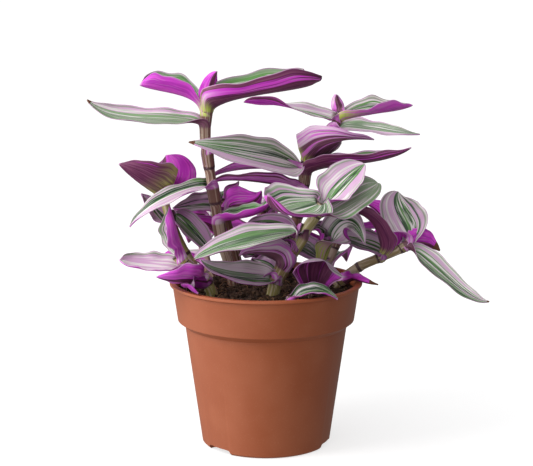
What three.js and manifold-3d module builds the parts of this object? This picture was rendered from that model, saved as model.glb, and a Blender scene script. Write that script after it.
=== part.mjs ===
// A potted tradescantia: a terracotta-coloured plastic nursery pot, potting soil, and thirteen leafy stems.
// Millimetres, +Z up. The origin is the middle of the pot's underside, and the front of the plant faces -Y.
import * as THREE from "three";
import { mergeGeometries, mergeVertices } from "three/addons/utils/BufferGeometryUtils.js";
import Module from "manifold-3d";

const wasm = await Module();
wasm.setup();

// Pot: a 12 cm nursery pot.
const POT_HEIGHT = 103;
const RIM_RADIUS = 60;
const LIP_HEIGHT = 1.5;
const LIP_SLOPE = 1;
const BAND_TOP_RADIUS = 58.2;
const BAND_FOOT_RADIUS = 55.1;
const BAND_FOOT = 79;
const BODY_TOP_RADIUS = 50.6;
const BODY_TOP = 75.5;
const BASE_RADIUS = 40.2;
const BASE_EDGE = 1.2;
const WALL = 1.4;
const POT_SIDES = 36;
const NOTCH_WIDTH = 19;
const NOTCH_HEIGHT = 3;
const NOTCH_CORNER = 2;
const NOTCH_CORNER_STEPS = 3;
const NOTCH_BELOW = 1;
const NOTCH_INNER_RADIUS = 34;
const NOTCH_REACH = 12;
const NOTCH_TURNS = [-47, 72, 192];

// Soil: level just under the rim, higher in the middle.
const SOIL_EDGE_LEVEL = 97;
const SOIL_SHOULDER_LEVEL = 98.7;
const SOIL_MIDDLE_LEVEL = 99.5;
const SOIL_SHOULDER = 0.7;
const CLEARANCE = 0.35;

// Stems.
const STEM_SIDES = 6;

// A leaf's sheath: the half angle that it wraps round the stem, its play on the stem, and how its root sits.
const SHEATH_WRAP = 100;
const SHEATH_PLAY = 1.5;
const ROOT_SINK = 0.3;
const ROOT_DEPTH = 1.5;

// A leaf's blade. Stations and shares are measured along the midrib, from 0 at the sheath to 1 at the tip.
const BLADE_THICKNESS = 0.8;
const TIP_HALF_WIDTH = 0.5;
const FLARE_END = 0.12;
const TIP_POWER = 1.8;
const BLUNT_POWER = 0.8;
const BLUNT_ROUNDING = 0.25;
const UNROLL_POWER = 0.8;
const TIP_TURN_START = 0.3;
const VIA_LEAD = 0.06;
const VIA_RANGE = [0.35, 0.65];
const BLADE_STATIONS = [0, 0.14, 0.32, 0.52, 0.74, 0.9, 1];
const WIDE_BLADE = 28;
const WIDE_COLUMNS = 4;
const NARROW_COLUMNS = 2;

// Points closer than this are one point.
const SAME_POINT = 1e-4;

// One leaf: the stem joint that it grows from, a point that its midrib passes, its tip, its width, the way
// that its upper side faces, and what differs from the usual leaf.
function leaf(joint, via, tip, width, face, more = {}) {
  const usual = {
    sheath: 11, bend: 9, cup: 55, opening: 0.32, neck: 0.62, widest: 0.38, blunt: 0, tipFace: face,
  };
  return { joint, via, tip, width, face, ...usual, ...more };
}

// One leafy stem: its radius at the foot and at the top, its joints from the soil upwards, and its leaves.
const STEMS = [
  {
    name: "stem_tall_left",
    foot: 4, top: 3,
    joints: [
      [-17, 8, 80], [-23, 5, 112], [-28, 3, 129], [-31.5, 1, 152], [-35, 0, 174], [-37, 0, 189],
      [-37, -1, 200], [-36, 0, 210],
    ],
    leaves: [
      leaf(2, [-13, -8, 145], [2.5, -14, 158], 24, [-0.1, -0.1, 1], { cup: 60, bend: 4 }),
      leaf(3, [-58, -20, 159], [-83, -24, 141.5], 18, [-0.4, -0.55, 0.8], { sheath: 10, cup: 30, bend: 5 }),
      leaf(4, [-8, 17, 179], [14, 18, 183], 20, [0, -0.1, 1], { sheath: 9 }),
      leaf(5, [-74, -6, 205.5], [-108, -8, 217], 19, [0, -0.5, 1], { cup: 28, widest: 0.58 }),
      leaf(6, [13.4, -10, 223.5], [29.5, -9, 229], 38, [-0.3, -0.1, 1], {
        sheath: 9, cup: 85, bend: 12, opening: 0.4, neck: 2, widest: 0.6, blunt: 1.3,
        tipFace: [0.1, 0.1, 1],
      }),
      leaf(6, [-56, 6, 219.7], [-77, 8, 224.5], 34, [0.1, 0.1, 1], {
        sheath: 6, cup: 85, bend: 15, neck: 0.2, widest: 0.62, blunt: 1.9,
        tipFace: [-0.4, 0, 1],
      }),
      leaf(7, [-35, 5, 221], [-30, 5, 233], 14, [0, 1, 0.3], { sheath: 3, bend: 4 }),
    ],
  },
  {
    name: "stem_leaning_right",
    foot: 4.2, top: 2.6,
    joints: [
      [5, 25, 80], [14, 24, 115], [20, 22, 140], [24, 21, 160], [25, 21, 174], [36, 24, 189],
      [44, 27, 198], [48, 29, 204],
    ],
    leaves: [
      leaf(1, [27, 14, 119], [40, 10, 115], 20, [0, -0.7, 0.7], { sheath: 4 }),
      leaf(2, [-6, 12, 164], [-34, 8, 164], 20, [0, 0.3, 1], { sheath: 16, cup: 60, bend: 3 }),
      leaf(3, [-10, 14, 172], [-36, 10, 166], 20, [0, 0.3, 1], { sheath: 8, cup: 50, bend: 3 }),
      leaf(3, [55, 3, 176.5], [88, -8, 188], 26, [-0.1, 0.1, 1], { sheath: 7, cup: 70, neck: 0.9 }),
      leaf(3, [-14, -17, 184.5], [-46, -28, 194], 32, [0.3, -0.7, 0.8],
        { sheath: 10, bend: 3, cup: 35, neck: 0.15, widest: 0.42 }),
      leaf(4, [32.5, 3, 186], [66, 0, 192], 32, [0, 0.9, 0.3],
        { sheath: 0, cup: 58, bend: 8, neck: 2.2, widest: 0.3, tipFace: [-0.1, 0.3, 1] }),
      leaf(5, [66, 8, 197], [95, 5, 194.5], 15, [0, -0.55, 0.9], { sheath: 8, cup: 32, neck: 0.5 }),
      leaf(6, [15, 26, 209], [-14, 25, 212], 11, [0, -0.6, 0.8],
        { sheath: 1, bend: 3, cup: 35, widest: 0.66, tipFace: [0, 0.9, 0.4] }),
      leaf(6, [66, 30, 204.5], [92, 32, 209.5], 27, [-0.1, -0.3, 1],
        { sheath: 3, cup: 76, neck: 0.9, widest: 0.55, tipFace: [-0.1, 0.2, 1] }),
      leaf(7, [45, 31, 209], [44.5, 32, 216], 9, [0, 1, 0.2], { sheath: 0, bend: 1 }),
    ],
  },
  {
    name: "stem_front",
    foot: 4.6, top: 3.4,
    joints: [[2, -22, 80], [6, -25, 108], [13, -27, 122], [22, -28, 137], [30, -28, 149], [34, -27, 156]],
    leaves: [
      leaf(1, [-20, -38, 115], [-39, -42, 125], 20, [0.1, -0.7, 0.7], { sheath: 0, bend: 2 }),
      leaf(1, [0, -22, 115], [-8, -20, 121], 18, [0, -0.9, 0.4], { sheath: 2, bend: 3, cup: 30 }),
      leaf(1, [-2, -34, 127], [-16, -38, 127], 28, [-0.4, 0.1, 0.9],
        { sheath: 10, bend: 7, cup: 70, opening: 0.45, neck: 1.3 }),
      leaf(2, [-11, -42, 136], [-43, -50, 126.5], 24, [-0.1, -0.45, 0.9],
        { sheath: 17, cup: 42, bend: 3, neck: 0.3, widest: 0.5 }),
      leaf(2, [3, -22, 139], [-13, -20, 140], 24, [0, -0.9, 0.4], { sheath: 8 }),
      leaf(4, [13, -48, 155], [2, -63, 168], 50, [0.35, -0.04, 0.93],
        { sheath: 6, bend: 4, cup: 37, opening: 0.25, neck: 0.8, widest: 0.45 }),
      leaf(4, [49, -20, 157], [68.5, -8, 166], 26, [-0.2, -0.8, 0.5],
        { sheath: 1, bend: 3, cup: 30, blunt: 1 }),
      leaf(5, [48, -17, 168.5], [60, -12, 178], 28, [-0.3, -0.8, 0.6],
        { sheath: 1, bend: 5, cup: 40, blunt: 1 }),
    ],
  },
  {
    name: "stem_left",
    foot: 3.6, top: 2.6,
    joints: [[-28, 0, 80], [-40, 0, 104], [-50, 0, 120], [-58, 0, 138], [-63, 0, 154], [-64, 1, 160]],
    leaves: [
      leaf(3, [-70, 4, 149], [-77, 4, 157], 15, [0.3, -0.8, 0.3], { sheath: 1, bend: 3 }),
      leaf(3, [-46, -4, 135], [-34, -12, 124], 20, [0.2, -0.6, 0.8], { sheath: 3 }),
      leaf(4, [-76, -10, 166.5], [-88.5, -14, 178.5], 48, [0.45, 0.5, 0.7],
        { sheath: 3, bend: 1, cup: 100, neck: 2.4, widest: 0.3 }),
      leaf(5, [-60, 3, 172], [-61.5, 8, 180], 36, [0, 1, 0.1],
        { sheath: 0, bend: 4, cup: 32, blunt: 1, neck: 1.2, widest: 0.5 }),
    ],
  },
  {
    name: "stem_front_left",
    foot: 4.2, top: 3.6,
    joints: [[-28, -16, 80], [-36, -21, 106], [-44, -24, 114], [-50, -25, 119], [-54, -25, 124]],
    leaves: [
      leaf(1, [-52, -34, 110.5], [-65.5, -36, 113.5], 30, [0, 0.65, 0.76], { sheath: 3, cup: 45 }),
      leaf(1, [-46, -36, 108], [-40, -45, 105], 13, [-0.2, 0.85, 0.5], { sheath: 0, bend: 2 }),
      leaf(2, [-72, -26, 118], [-88, -29, 122], 18, [0, -0.5, 0.8], { sheath: 5, blunt: 2 }),
      leaf(3, [-54, -24, 136], [-59, -24, 153.5], 34, [-0.95, -0.2, 0.2],
        { sheath: 2, cup: 65, widest: 0.5 }),
    ],
  },
  {
    name: "stem_middle_right",
    foot: 3.2, top: 2.4,
    joints: [[22, -14, 80], [30, -12, 104], [33, -12, 117], [36, -12, 128], [37, -12, 132]],
    leaves: [
      leaf(2, [51, -18, 142], [60, -26, 131], 24, [0.3, -0.7, 0.6],
        { sheath: 3, bend: 20, cup: 35, opening: 0.45, neck: 1.3 }),
      leaf(4, [32, -16, 138], [28, -20, 139], 14, [0, -0.6, 0.8], { sheath: 0, bend: 2 }),
    ],
  },
  {
    name: "shoot_hooded",
    foot: 2.6, top: 2.2,
    joints: [[26, -30, 80], [28, -32, 101], [28.5, -33, 107]],
    leaves: [
      leaf(1, [30, -37, 117], [35, -50, 126], 38, [0, 0.75, 0.66],
        { sheath: 2, cup: -60, blunt: 1.5, bend: 3, neck: 0.8, widest: 0.7 }),
    ],
  },
  {
    name: "shoot_front",
    foot: 2.2, top: 1.8,
    joints: [[10, -46, 80], [12, -48, 97], [15, -49, 104]],
    leaves: [leaf(1, [28, -50, 108], [43, -50, 102.5], 11, [0, -0.5, 0.8], { sheath: 5 })],
  },
  {
    name: "stem_right",
    foot: 3.6, top: 2.8,
    joints: [[28, 4, 80], [46, 4, 101], [58, 2, 111], [70, 0, 117], [84, 0, 123], [88, 0, 126]],
    leaves: [
      leaf(1, [58, -10, 105.5], [69, -14, 104], 12, [0.2, 0.6, 0.8], { sheath: 3 }),
      leaf(3, [55, -4, 128.5], [43, -3, 134], 22, [0, -0.6, 0.8], { sheath: 1 }),
      leaf(3, [70, -6, 135], [50, -8, 148], 20, [0.8, 0.5, 0.4], { sheath: 1, cup: 60 }),
      leaf(3, [76, 10, 137], [62, 14, 150], 28, [0.2, 0.9, 0.3], { sheath: 1, cup: 60 }),
      leaf(4, [98, 6, 126], [109, 8, 120.5], 20, [0, 0.9, 0.4], { sheath: 2, neck: 1 }),
      leaf(4, [109, -7, 109.5], [138, -12, 92.5], 15, [0.3, -0.8, 0.6], { sheath: 3, cup: 38 }),
      leaf(5, [84, 8, 143], [83, 16, 156.5], 30, [0.1, -0.8, 0.6], { sheath: 1, cup: 30, blunt: 1 }),
    ],
  },
  {
    name: "stem_behind_left",
    foot: 3.4, top: 2.4,
    joints: [[-14, 26, 80], [-18, 26, 108], [-22, 24, 126], [-26, 20, 142], [-28, 18, 152]],
    leaves: [
      leaf(1, [-42, 20, 136], [-56, 16, 138], 16, [0, 0.6, 0.8], { sheath: 12 }),
      leaf(3, [-46, 16, 147], [-58, 12, 147], 20, [0, -0.6, 0.8], { sheath: 1 }),
      leaf(3, [-16, 14, 149.5], [-3, 14, 157], 22, [0, 1, 0.1], { sheath: 1, cup: 35 }),
      leaf(4, [-28, 44, 151], [-26, 68, 142], 26, [0, 0, 1], { sheath: 0 }),
    ],
  },
  {
    name: "stem_behind_middle",
    foot: 3.6, top: 2.6,
    joints: [[0, 36, 80], [-2, 38, 104], [-3, 42, 118], [-3, 46, 130], [-2, 49, 138]],
    leaves: [
      leaf(1, [22, 52, 118], [42, 58, 116], 26, [0, 0.3, 1], { sheath: 6 }),
      leaf(1, [-15, 40, 118], [-31, 41, 125], 22, [0, -0.7, 0.7], { sheath: 3 }),
      leaf(2, [-20, 64, 124], [-30, 78, 117], 26, [0, 0.3, 1], { sheath: 4 }),
      leaf(3, [2, 76, 136], [6, 98, 126], 30, [0, 0.3, 1], { sheath: 4 }),
      leaf(4, [14, 52, 146], [28, 54, 148], 22, [0, 0, 1], { sheath: 1 }),
      leaf(4, [-12, 56, 141], [-24, 60, 140], 22, [0, 0, 1], { sheath: 1 }),
    ],
  },
  {
    name: "stem_behind_right",
    foot: 3.4, top: 2.5,
    joints: [[30, 26, 80], [38, 32, 102], [44, 38, 116], [48, 43, 128], [50, 46, 136]],
    leaves: [
      leaf(1, [48, 58, 110], [54, 76, 100], 26, [0, 0.2, 1], { sheath: 4 }),
      leaf(2, [62, 42, 128], [76, 44, 128], 24, [0.2, 0.2, 1], { sheath: 3 }),
      leaf(3, [32, 62, 136], [20, 78, 132], 26, [0, 0.2, 1], { sheath: 3 }),
      leaf(4, [56, 60, 142], [60, 76, 138], 24, [0, 0.1, 1], { sheath: 1 }),
    ],
  },
  {
    name: "stem_far_left",
    foot: 3.4, top: 2.5,
    joints: [[-28, 20, 80], [-36, 30, 102], [-40, 38, 114], [-40, 44, 124], [-38, 47, 131]],
    leaves: [
      leaf(1, [-54, 44, 109], [-70, 52, 104], 26, [0, 0.2, 1], { sheath: 4 }),
      leaf(2, [-46, 62, 120], [-52, 80, 112], 26, [0, 0.2, 1], { sheath: 3 }),
      leaf(3, [-33, 62, 132], [-30, 82, 124], 24, [0, 0.3, 1], { sheath: 1 }),
      leaf(4, [-50, 50, 136], [-62, 53, 139], 22, [0, 0, 1], { sheath: 1 }),
    ],
  },
];

function pointOf(list) {
  return new THREE.Vector3(...list);
}

function radians(degrees) {
  return THREE.MathUtils.degToRad(degrees);
}

// 0 before the start, 1 after the end, and smooth between them.
function ease(value, end) {
  return THREE.MathUtils.smoothstep(value, 0, end);
}

// A closed mesh as a solid that can be joined and cut.
function solidOf(geometry) {
  const bare = geometry.clone();
  bare.deleteAttribute("normal");
  bare.deleteAttribute("uv");
  const merged = mergeVertices(bare, SAME_POINT);
  const vertProperties = new Float32Array(merged.attributes.position.array);
  const triVerts = new Uint32Array(merged.index.array);
  return new wasm.Manifold(new wasm.Mesh({ numProp: 3, vertProperties, triVerts }));
}

function geometryOf(solid) {
  const mesh = solid.getMesh();
  const geometry = new THREE.BufferGeometry();
  geometry.setAttribute("position", new THREE.BufferAttribute(mesh.vertProperties, 3));
  geometry.setIndex(new THREE.BufferAttribute(mesh.triVerts, 1));
  geometry.computeVertexNormals();
  return geometry;
}

// The largest body of a solid, without loose scraps and with sealed hollows filled.
function mainBody(solid) {
  return solid.decompose().reduce((most, body) => (body.volume() > most.volume() ? body : most));
}

function potMaterial() {
  return new THREE.MeshStandardMaterial({ color: 0x9c5b3d, roughness: 0.55, metalness: 0 });
}

function soilMaterial() {
  return new THREE.MeshStandardMaterial({ color: 0x33241c, roughness: 1, metalness: 0 });
}

function leafMaterial() {
  return new THREE.MeshStandardMaterial({ color: 0x9a6f97, roughness: 0.6, metalness: 0 });
}

// The pot's wall is one profile, up the outside and down the inside, turned about the Z axis.
function potProfile() {
  const grooveTop = POT_HEIGHT - LIP_HEIGHT;
  const outside = [
    [0, 0],
    [BASE_RADIUS - BASE_EDGE, 0],
    [BASE_RADIUS, BASE_EDGE],
    [BODY_TOP_RADIUS, BODY_TOP],
    [BAND_FOOT_RADIUS, BAND_FOOT],
    [BAND_TOP_RADIUS, grooveTop - LIP_SLOPE],
    [RIM_RADIUS, grooveTop],
    [RIM_RADIUS, POT_HEIGHT],
  ];
  const inside = [
    [BAND_TOP_RADIUS - WALL, POT_HEIGHT],
    [BAND_FOOT_RADIUS - WALL, BAND_FOOT],
    [BODY_TOP_RADIUS - WALL, BODY_TOP],
    [BASE_RADIUS - WALL, WALL],
    [0, WALL],
  ];
  return [...outside, ...inside].map(([r, z]) => new THREE.Vector2(r, z));
}

function turned(profile) {
  const geometry = new THREE.LatheGeometry(profile, POT_SIDES);
  geometry.rotateX(Math.PI / 2);
  return solidOf(geometry);
}

// A drainage notch in the pot's bottom edge: a low opening with rounded upper corners.
function notch(turn) {
  const half = NOTCH_WIDTH / 2;
  const outline = new THREE.Shape();
  outline.moveTo(-half, -NOTCH_BELOW);
  outline.lineTo(half, -NOTCH_BELOW);
  outline.lineTo(half, NOTCH_HEIGHT - NOTCH_CORNER);
  outline.quadraticCurveTo(half, NOTCH_HEIGHT, half - NOTCH_CORNER, NOTCH_HEIGHT);
  outline.lineTo(NOTCH_CORNER - half, NOTCH_HEIGHT);
  outline.quadraticCurveTo(-half, NOTCH_HEIGHT, -half, NOTCH_HEIGHT - NOTCH_CORNER);
  const geometry = new THREE.ExtrudeGeometry(outline, {
    depth: NOTCH_REACH, bevelEnabled: false, curveSegments: NOTCH_CORNER_STEPS,
  });
  geometry.rotateX(Math.PI / 2);
  geometry.translate(0, -NOTCH_INNER_RADIUS, 0);
  geometry.rotateZ(radians(turn));
  return solidOf(geometry);
}

function pot() {
  const shell = NOTCH_TURNS.reduce((solid, turn) => solid.subtract(notch(turn)), turned(potProfile()));
  return namedMesh("pot", mainBody(shell), potMaterial());
}

// The soil fills the pot, a clearance inside its wall, and the stems stand in holes in it.
function soil(stemTubes) {
  const gap = WALL + CLEARANCE;
  const slope = (BAND_TOP_RADIUS - BAND_FOOT_RADIUS) / (POT_HEIGHT - BAND_FOOT);
  const edge = BAND_FOOT_RADIUS - gap + slope * (SOIL_EDGE_LEVEL - BAND_FOOT);
  const profile = [
    [0, gap],
    [BASE_RADIUS - gap, gap],
    [BODY_TOP_RADIUS - gap, BODY_TOP],
    [BAND_FOOT_RADIUS - gap, BAND_FOOT],
    [edge, SOIL_EDGE_LEVEL],
    [edge * SOIL_SHOULDER, SOIL_SHOULDER_LEVEL],
    [0, SOIL_MIDDLE_LEVEL],
  ];
  const whole = turned(profile.map(([r, z]) => new THREE.Vector2(r, z)));
  const holed = stemTubes.reduce((solid, tube) => solid.subtract(tube), whole);
  return namedMesh("soil", mainBody(holed), soilMaterial());
}

// A tube with a round section along a stretch of a stem's path.
function tubeAlong(path, radius, steps) {
  const section = new THREE.Shape();
  for (let side = 0; side < STEM_SIDES; side += 1) {
    const turn = (2 * Math.PI * side) / STEM_SIDES;
    section[side ? "lineTo" : "moveTo"](radius * Math.cos(turn), radius * Math.sin(turn));
  }
  return solidOf(new THREE.ExtrudeGeometry(section, { steps, extrudePath: path, bevelEnabled: false }));
}

function stemTube(stem, extra) {
  const points = stem.joints.map(pointOf);
  const path = new THREE.CatmullRomCurve3(points, false, "centripetal");
  const radius = (stem.foot + stem.top) / 2 + extra;
  return tubeAlong(path, radius, points.length - 1);
}

// The midrib: a cubic curve from the sheath's mouth, first along the stem, then past the via point to the
// tip.
function midrib(mouth, along, item) {
  const via = pointOf(item.via);
  const tip = pointOf(item.tip);
  const start = mouth.clone().addScaledVector(along, item.bend);
  const before = via.distanceTo(mouth);
  const t = THREE.MathUtils.clamp(before / (before + tip.distanceTo(via)) + VIA_LEAD, ...VIA_RANGE);
  const s = 1 - t;
  const second = via.clone()
    .addScaledVector(mouth, -(s ** 3))
    .addScaledVector(start, -3 * s * s * t)
    .addScaledVector(tip, -(t ** 3))
    .divideScalar(3 * s * t * t);
  return new THREE.CubicBezierCurve3(mouth, start, second, tip);
}

// Half the width of the flattened blade: the sheath's girth at the mouth, a neck, the widest part and the
// tip.
function halfWidth(u, girth, item) {
  const half = item.width / 2;
  if (u < item.widest) {
    const neck = girth * item.neck;
    return neck + (half - neck) * ease(u, item.widest) + (girth - neck) * (1 - ease(u, FLARE_END));
  }
  const out = (u - item.widest) / (1 - item.widest);
  const taper = 1 - out ** (TIP_POWER + BLUNT_POWER * item.blunt);
  const shape = taper ** (1 - BLUNT_ROUNDING * item.blunt);
  return Math.max(TIP_HALF_WIDTH, half * shape);
}

// One row of points across a blade, as an arc about the midrib, on its upper or its lower side.
function rowAcross(centre, side, up, half, curl, columns, lower) {
  const radius = half / curl;
  const row = [];
  for (let column = 0; column <= columns; column += 1) {
    const turn = (2 * column / columns - 1) * curl;
    const outward = side.clone().multiplyScalar(Math.sin(turn)).addScaledVector(up, -Math.cos(turn));
    const reach = radius + (lower ? BLADE_THICKNESS : 0);
    row.push(centre.clone().addScaledVector(up, radius).addScaledVector(outward, reach));
  }
  return row;
}

// A closed blade from its upper and lower rows, with both sides split into triangles alike.
function closedBlade(upper, lower) {
  const rows = upper.length;
  const columns = upper[0].length;
  const points = [...upper.flat(), ...lower.flat()];
  const under = rows * columns;
  const index = [];
  const quad = (a, b, c, d) => index.push(a, b, c, a, c, d);
  for (let row = 0; row + 1 < rows; row += 1) {
    for (let column = 0; column + 1 < columns; column += 1) {
      const a = row * columns + column;
      const b = a + 1;
      const c = b + columns;
      const d = a + columns;
      quad(a, b, c, d);
      index.push(under + a, under + c, under + b, under + a, under + d, under + c);
    }
    const left = row * columns;
    const right = left + columns - 1;
    quad(under + left, left, left + columns, under + left + columns);
    quad(right, under + right, under + right + columns, right + columns);
  }
  const last = (rows - 1) * columns;
  for (let column = 0; column + 1 < columns; column += 1) {
    quad(under + column, under + column + 1, column + 1, column);
    quad(last + column, last + column + 1, under + last + column + 1, under + last + column);
  }
  const geometry = new THREE.BufferGeometry().setFromPoints(points);
  geometry.setIndex(index);
  return geometry;
}

// A leaf: a blade that leaves its sheath as a tube round the stem and opens into a channel, with its root in
// the stem.
function blade(stem, item) {
  const joint = pointOf(stem.joints[item.joint]);
  const next = stem.joints[item.joint + 1];
  const along = next
    ? pointOf(next).sub(joint).normalize()
    : joint.clone().sub(pointOf(stem.joints[item.joint - 1])).normalize();
  const share = item.joint / (stem.joints.length - 1);
  const girthRadius = THREE.MathUtils.lerp(stem.foot, stem.top, share) + SHEATH_PLAY;
  const axis = joint.clone().addScaledVector(along, item.sheath);
  const out = pointOf(item.via).sub(axis).projectOnPlane(along).normalize();
  const rib = midrib(axis.clone().addScaledVector(out, girthRadius), along, item);
  const wrap = radians(SHEATH_WRAP);
  const columns = item.width >= WIDE_BLADE ? WIDE_COLUMNS : NARROW_COLUMNS;
  const face = pointOf(item.face).normalize();
  const tipFace = pointOf(item.tipFace).normalize();
  const upper = [];
  const lower = [];
  const addRows = (centre, side, up, half, curl) => {
    upper.push(rowAcross(centre, side, up, half, curl, columns, false));
    lower.push(rowAcross(centre, side, up, half, curl, columns, true));
  };
  const inward = out.clone().negate();
  const rootSide = new THREE.Vector3().crossVectors(along, inward);
  const rootRadius = girthRadius * ROOT_SINK;
  const rootCentre = axis.clone().addScaledVector(along, -ROOT_DEPTH).addScaledVector(out, rootRadius);
  addRows(rootCentre, rootSide, inward, rootRadius * wrap, wrap);
  for (const u of BLADE_STATIONS) {
    const centre = rib.getPoint(u);
    const forward = rib.getTangent(u);
    const turning = ease(u, item.opening);
    const aim = face.clone().lerp(tipFace, THREE.MathUtils.smoothstep(u, TIP_TURN_START, 1));
    const up = inward.clone().lerp(aim, turning).projectOnPlane(forward).normalize();
    const side = new THREE.Vector3().crossVectors(forward, up);
    const curl = wrap + (radians(item.cup) - wrap) * turning ** UNROLL_POWER;
    addRows(centre, side, up, halfWidth(u, girthRadius * wrap, item), curl);
  }
  return solidOf(closedBlade(upper, lower));
}

function leafyStem(stem) {
  const parts = [stemTube(stem, 0), ...stem.leaves.map((item) => blade(stem, item))];
  return namedMesh(stem.name, mainBody(wasm.Manifold.union(parts)), leafMaterial());
}

function namedMesh(name, solid, material) {
  const mesh = new THREE.Mesh(geometryOf(solid), material);
  mesh.name = name;
  return mesh;
}

const plant = new THREE.Group();
plant.add(pot());
plant.add(soil(STEMS.map((stem) => stemTube(stem, CLEARANCE))));
plant.add(...STEMS.map(leafyStem));

export default plant;
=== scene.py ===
"""A potted tradescantia: striped leaves on thirteen stems, in soil, in a terracotta-coloured nursery pot.

The frame is the CAD model's: +Z is up, the origin is the middle of the pot's underside, and the front of the
plant faces -Y. The scene is in metres. The named sizes and the table are in millimetres and degrees, unless
a comment says otherwise.
"""
import math
import random
from functools import partial

import bmesh
import bpy
from mathutils import Matrix, Vector, geometry, noise


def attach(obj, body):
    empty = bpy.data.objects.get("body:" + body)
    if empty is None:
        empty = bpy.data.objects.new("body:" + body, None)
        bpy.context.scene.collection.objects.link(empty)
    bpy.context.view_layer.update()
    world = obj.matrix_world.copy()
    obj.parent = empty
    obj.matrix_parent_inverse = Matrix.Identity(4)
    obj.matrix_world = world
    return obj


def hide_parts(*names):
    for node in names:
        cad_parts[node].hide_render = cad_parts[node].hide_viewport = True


bl_info = {
    "name": "Potted tradescantia",
    "version": (1, 0, 0),
    "blender": (4, 5, 0),
    "location": "3D View > Sidebar > Plant",
    "description": "Models a potted tradescantia with striped leaves",
    "category": "Add Mesh",
}

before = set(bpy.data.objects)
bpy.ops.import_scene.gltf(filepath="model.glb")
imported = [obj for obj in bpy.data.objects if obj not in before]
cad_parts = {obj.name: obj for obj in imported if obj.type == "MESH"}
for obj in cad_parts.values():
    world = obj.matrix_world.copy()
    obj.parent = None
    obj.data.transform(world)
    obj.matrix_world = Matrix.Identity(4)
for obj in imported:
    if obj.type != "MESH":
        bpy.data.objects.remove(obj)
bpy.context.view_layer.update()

MM = 0.001

# Pot: a 12 cm nursery pot.
POT_HEIGHT = 103.0
RIM_RADIUS = 60.0
LIP_HEIGHT = 1.5
LIP_SLOPE = 1.0
BAND_TOP_RADIUS = 58.2
BAND_FOOT_RADIUS = 55.1
BAND_FOOT = 79.0
BODY_TOP_RADIUS = 50.6
BODY_TOP = 75.5
BASE_RADIUS = 40.2
BASE_EDGE = 1.2
WALL = 1.4
POT_SEGMENTS = 160
POT_EDGE_ROUNDING = 0.35
POT_EDGE_ANGLE = 24
NOTCH_WIDTH = 19.0
NOTCH_HEIGHT = 3.0
NOTCH_CORNER = 2.0
NOTCH_RADIUS = 40.0
NOTCH_REACH = 12.0
NOTCH_TURNS = (-47, 72, 192)

# Soil, with the loose crumbs and fibres on it. Crumb sizes are radii, and a margin is kept from the edge of
# the soil. Turn, bend and wander are in radians.
SOIL_EDGE_RADIUS = 55.6
SOIL_EDGE_LEVEL = 97.0
SOIL_MIDDLE_LEVEL = 99.5
SOIL_DEPTH = 90.0
SOIL_FOOT_INSET = 4.0
SOIL_RINGS = 44
SOIL_SEGMENTS = 150
LUMP_SPACING = 6.0
LUMP_FRACTAL = (0.9, 2.1, 4)
LUMP_MEAN = 0.25
CRUMB_SEED = 4
CRUMB_SHAPES = 3
CRUMB_SIZES = (0.5, 0.7, 0.9, 1.3, 1.8)
CRUMB_SIZE_SHARES = (0.8, 1.2)
CRUMB_LIFT = 0.25
CRUMB_FLATNESS = 0.7
CRUMB_ROUGHNESS = 0.45
CRUMB_GRAIN = 1.7
CRUMB_SEED_STEP = 7.3
CRUMB_TURN = 6.28
CRUMB_MARGIN = 1.2
FIBRE_SEED = 9
FIBRE_RADIUS = 0.16
FIBRE_RADIUS_SHARES = (0.6, 1.4)
FIBRE_POINTS = (5, 12)
FIBRE_STEPS = (1.0, 1.7)
FIBRE_ARCHES = (0.2, 3.2)
FIBRE_BEND = 0.5
FIBRE_WANDER = 0.35
FIBRE_START_MARGIN = 6.0
FIBRE_MARGIN = 1.5

# Leaves. Shares are measured along the midrib, from 0 at the sheath's mouth to 1 at the tip. The turns,
# slant and phase step of the waves are in radians.
BLADE_COLUMNS = 20
BLADE_ROWS = 44
SHEATH_ROWS = 6
ROOT_PLAY = 0.2
FLARE_END = 0.12
TIP_POWER = 1.8
TIP_HALF_WIDTH = 0.12
BLUNT_POWER = 0.8
BLUNT_ROUNDING = 0.25
UNROLL_POWER = 0.8
TIP_TURN_START = 0.3
VIA_LEAD = 0.06
VIA_LEAST = 0.35
VIA_MOST = 0.65
MARGIN_THICKNESS = 0.4
THIN_ROOT = (-0.2, 0.15)
WAVE_TURN = 15.0
WAVE_SLANT = 2.0
FINE_WAVE_TURN = 27.0
FINE_WAVE_SHARE = 0.6
FINE_WAVE_PHASE = 2.3
WAVE_START = (0.1, 0.4)
WAVE_FULL_HALF_WIDTH = 6.0
WAVE_PHASE_STEP = 1.7
KEEL_DEPTH = 0.35
KEEL_WIDTH = 1.3
KEEL_START = (0.0, 0.2)
SEED_STEP = 3.7

# Stems. Each is a little thicker at its joints.
TUBE_SIDES = 20
TUBE_STEPS = 12
SKIN_SHARE = 0.92
NODE_SWELL = 0.4
NODE_REACH = 1.5

# Stage, with places and sizes in metres and light power in watts. The camera has the photo's viewing angle.
CAMERA_PLACE = (0.0003, -1.0, 0.3208)
CAMERA_TILT = 10.64
CAMERA_LENS = 110.8
CAMERA_SENSOR = 36
KEY_PLACE = (-1.05, -0.5, 1.05)
KEY_SIZE = 0.7
KEY_POWER = 12
PLANT_MIDDLE = (0, 0, 0.12)
WINDOW_HEADING = (-0.82, -0.33, 0.47)
FLOOR_RADIUS = 6
FLOOR_GAP = 0.0003
COVE_STEPS = ((1.2, 1.4), (8, 1.1))


def linear(code):
    """An sRGB hex colour as linear red, green, blue and alpha."""
    shares = [int(code[start:start + 2], 16) / 255 for start in (1, 3, 5)]
    light = [c / 12.92 if c <= 0.04045 else ((c + 0.055) / 1.055) ** 2.4 for c in shares]
    return (*light, 1.0)


def length_property(name, description, millimetres):
    return bpy.props.FloatProperty(
        name=name, description=description, default=millimetres * MM, unit="LENGTH", subtype="DISTANCE")


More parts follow.
